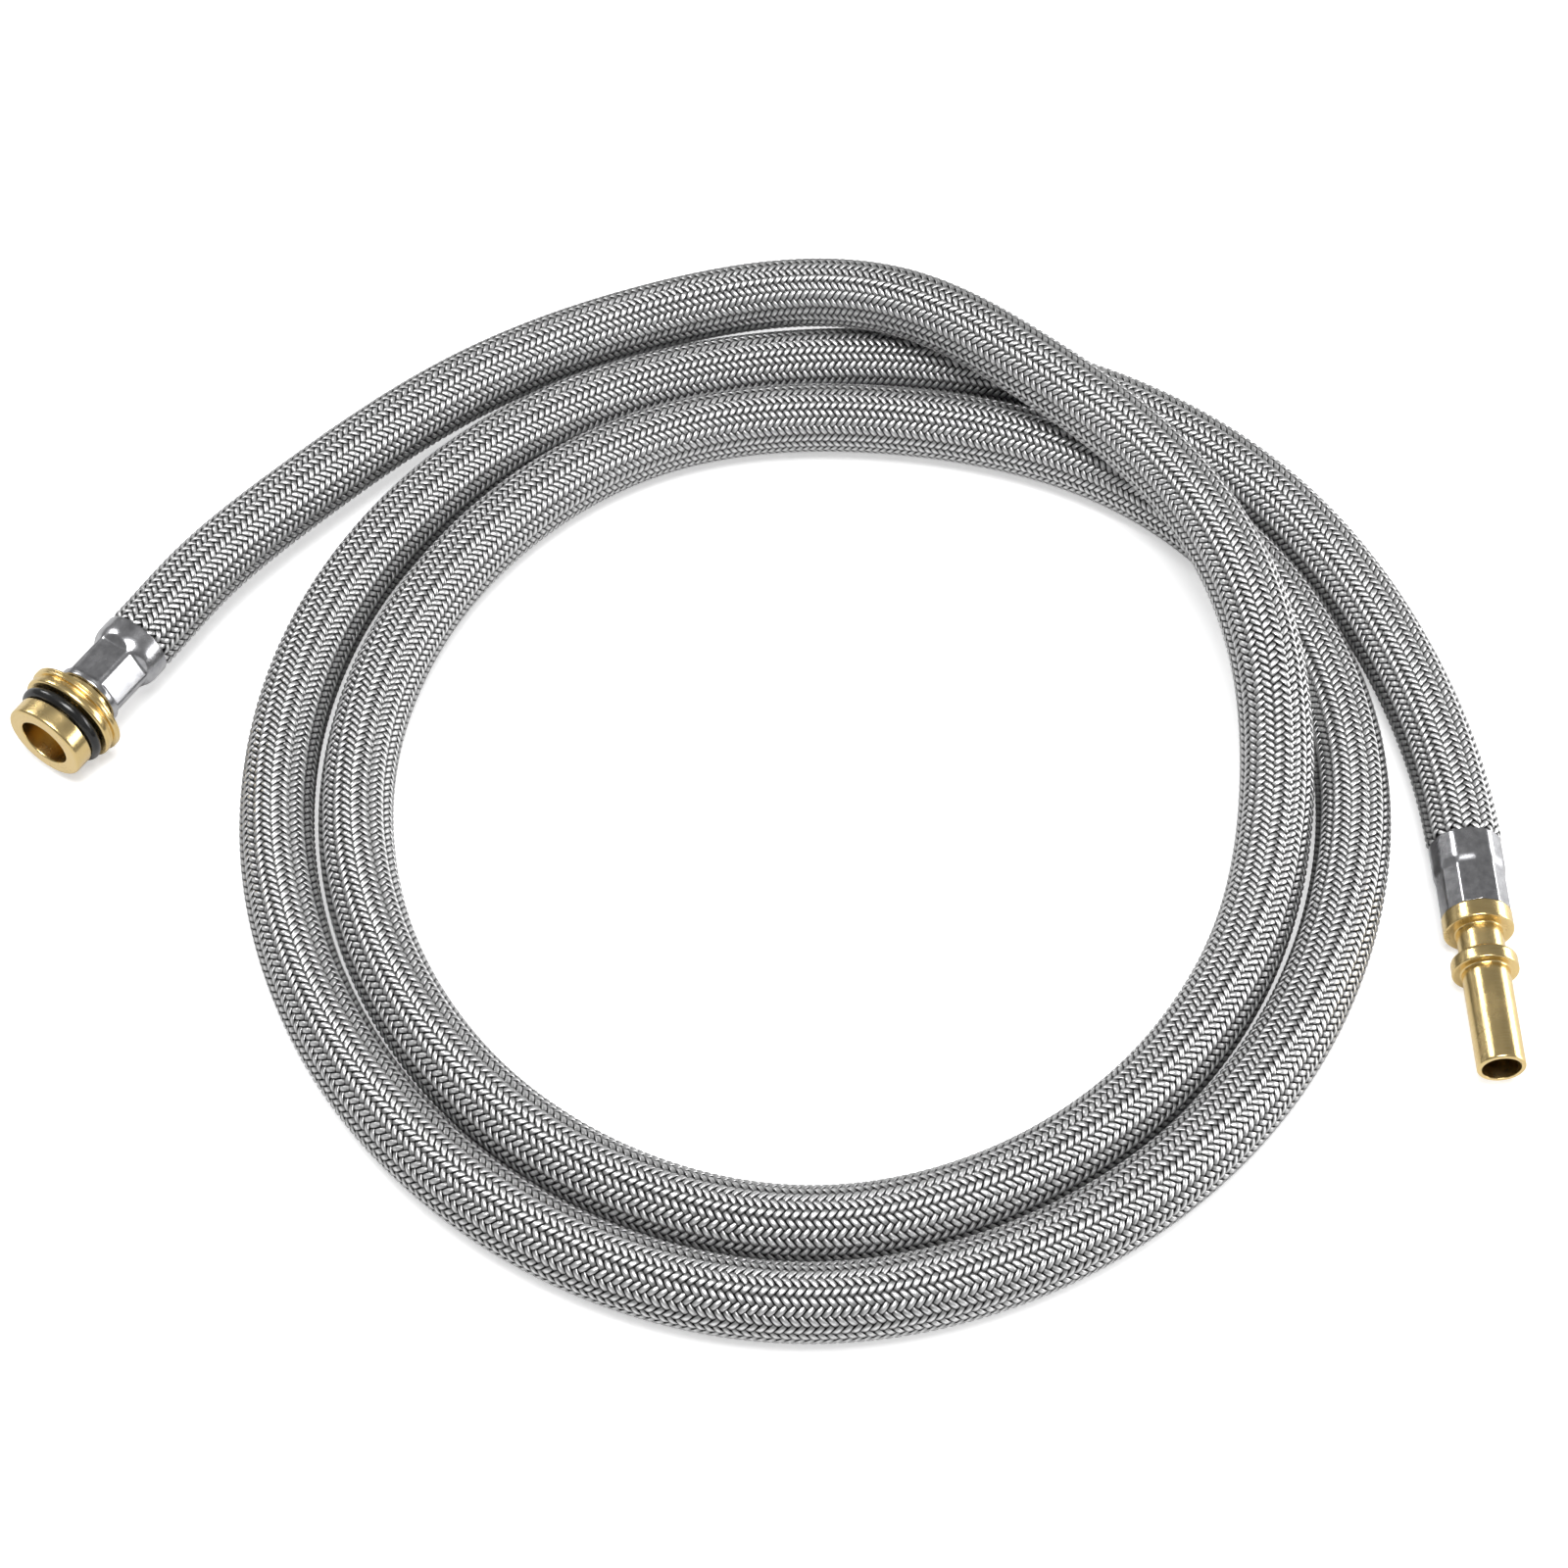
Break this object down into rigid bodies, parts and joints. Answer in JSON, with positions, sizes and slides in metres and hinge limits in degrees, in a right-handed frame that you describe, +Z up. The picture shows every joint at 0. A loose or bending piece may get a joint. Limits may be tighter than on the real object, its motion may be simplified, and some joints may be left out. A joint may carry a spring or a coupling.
{
  "type": "braided supply line",
  "caption": "Flexible braided tap hose lying in a loose coil, with a flanged O-ring connector crimped on at the spray end and a quick-connect spigot at the other; its free leads bend.",
  "frame": {"origin": "middle of the coil's bounding box, on the ground it lies on", "axes": "+Z up out of the coil, +X from the spray lead's side to the plug lead's side, +Y away from the viewer towards the crossing"},
  "size_m": [0.2542, 0.2174, 0.0264],
  "materials": {
    "braid": "satin grey woven yarn",
    "liner": "matt black",
    "steel": "polished, crimp-marked",
    "brass": "turned, satin",
    "o_ring": "glossy black"
  },
  "bodies": {
    "coil": {"coil_braid": "braid", "coil_liner": "liner"},
    "spray_lead_1": {"spray_lead_1_braid": "braid", "spray_lead_1_liner": "liner"},
    "spray_lead_2": {"spray_lead_2_braid": "braid", "spray_lead_2_liner": "liner"},
    "spray_lead_3": {"spray_lead_3_braid": "braid", "spray_lead_3_liner": "liner"},
    "spray_end": {"spray_end_braid": "braid", "spray_end_liner": "liner", "spray_ferrule": "steel", "spray_connector": "brass", "spray_o_ring": "o_ring"},
    "plug_lead_1": {"plug_lead_1_braid": "braid", "plug_lead_1_liner": "liner"},
    "plug_lead_2": {"plug_lead_2_braid": "braid", "plug_lead_2_liner": "liner"},
    "plug_lead_3": {"plug_lead_3_braid": "braid", "plug_lead_3_liner": "liner"},
    "plug_end": {"plug_end_braid": "braid", "plug_end_liner": "liner", "plug_ferrule": "steel", "plug_spigot": "brass"}
  },
  "joints": [
    {"name": "spray_sweep_1", "type": "hinge", "parent": "coil", "child": "spray_lead_1", "pos_m": [-0.06176, 0.07616, 0.00935], "axis": [0, 0, -1], "range_deg": [-6, 30], "stiffness_Nm_per_rad": 0.05},
    {"name": "spray_lift_1", "type": "hinge", "parent": "spray_lead_1", "child": "spray_lead_2", "pos_m": [-0.07498, 0.06395, 0.00925], "axis": [-0.7035, 0.7106, 0], "range_deg": [0, 30], "stiffness_Nm_per_rad": 0.05},
    {"name": "spray_sweep_2", "type": "hinge", "parent": "spray_lead_2", "child": "spray_lead_3", "pos_m": [-0.0875, 0.05102, 0.00918], "axis": [0, 0, -1], "range_deg": [-6, 30], "stiffness_Nm_per_rad": 0.05},
    {"name": "spray_lift_2", "type": "hinge", "parent": "spray_lead_3", "child": "spray_end", "pos_m": [-0.09872, 0.03697, 0.0092], "axis": [-0.8326, 0.5539, 0], "range_deg": [0, 30], "stiffness_Nm_per_rad": 0.05},
    {"name": "plug_sweep_1", "type": "hinge", "parent": "coil", "child": "plug_lead_1", "pos_m": [0.10127, 0.04873, 0.00635], "axis": [0, 0, 1], "range_deg": [0, 30], "stiffness_Nm_per_rad": 0.05},
    {"name": "plug_lift_1", "type": "hinge", "parent": "plug_lead_1", "child": "plug_lead_2", "pos_m": [0.10961, 0.03281, 0.00635], "axis": [-0.9183, -0.3958, 0], "range_deg": [0, 30], "stiffness_Nm_per_rad": 0.05},
    {"name": "plug_sweep_2", "type": "hinge", "parent": "plug_lead_2", "child": "plug_lead_3", "pos_m": [0.11563, 0.01585, 0.00635], "axis": [0, 0, 1], "range_deg": [0, 30], "stiffness_Nm_per_rad": 0.05},
    {"name": "plug_lift_2", "type": "hinge", "parent": "plug_lead_3", "child": "plug_end", "pos_m": [0.1194, -0.00173, 0.00635], "axis": [-0.9896, -0.1441, 0], "range_deg": [0, 30], "stiffness_Nm_per_rad": 0.05}
  ],
  "couplings": [
    {"joint": "spray_sweep_2", "follows": "spray_sweep_1", "ratio": 1},
    {"joint": "spray_lift_2", "follows": "spray_lift_1", "ratio": 1},
    {"joint": "plug_sweep_2", "follows": "plug_sweep_1", "ratio": 1},
    {"joint": "plug_lift_2", "follows": "plug_lift_1", "ratio": 1}
  ]
}
